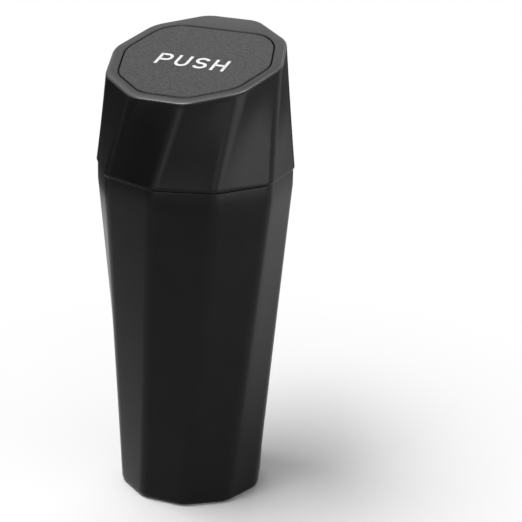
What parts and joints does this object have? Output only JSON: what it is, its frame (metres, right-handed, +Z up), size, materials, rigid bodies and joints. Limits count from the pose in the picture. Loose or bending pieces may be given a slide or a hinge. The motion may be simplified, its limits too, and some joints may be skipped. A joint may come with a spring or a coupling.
{
  "type": "car trash bin",
  "caption": "Ten-sided twisted cup-holder waste bin with a slanted collar and a spring-closed push flap.",
  "frame": {"origin": "centre of the foot, on the surface that the bin stands on", "axes": "+Z up along the cup's axis, +Y towards the high side of the rim where the flap is hinged, +X along the hinge"},
  "size_m": [0.0762, 0.0792, 0.1904],
  "materials": {
    "gloss_body": "black ABS, satin gloss",
    "gloss_collar": "black ABS, satin gloss",
    "grained_flap": "black ABS, fine spark-eroded grain",
    "pin_steel": "drawn steel",
    "spring_wire": "spring steel wire"
  },
  "bodies": {
    "bin": {"bin_body": "gloss_body"},
    "lid": {"lid_collar": "gloss_collar", "hinge_pin": "pin_steel", "return_spring": "spring_wire"},
    "flap": {"push_flap": "grained_flap"}
  },
  "joints": [
    {"name": "lid_lift", "type": "slide", "parent": "bin", "child": "lid", "axis": [0, 0, 1], "range_m": [0, 0.04]},
    {"name": "flap_hinge", "type": "hinge", "parent": "lid", "child": "flap", "pos_m": [0, 0.02719, 0.18247], "axis": [1, 0, 0], "range_deg": [0, 50], "stiffness_Nm_per_rad": 0.03, "springref_deg": -57.3, "deforming": ["return_spring"]}
  ]
}
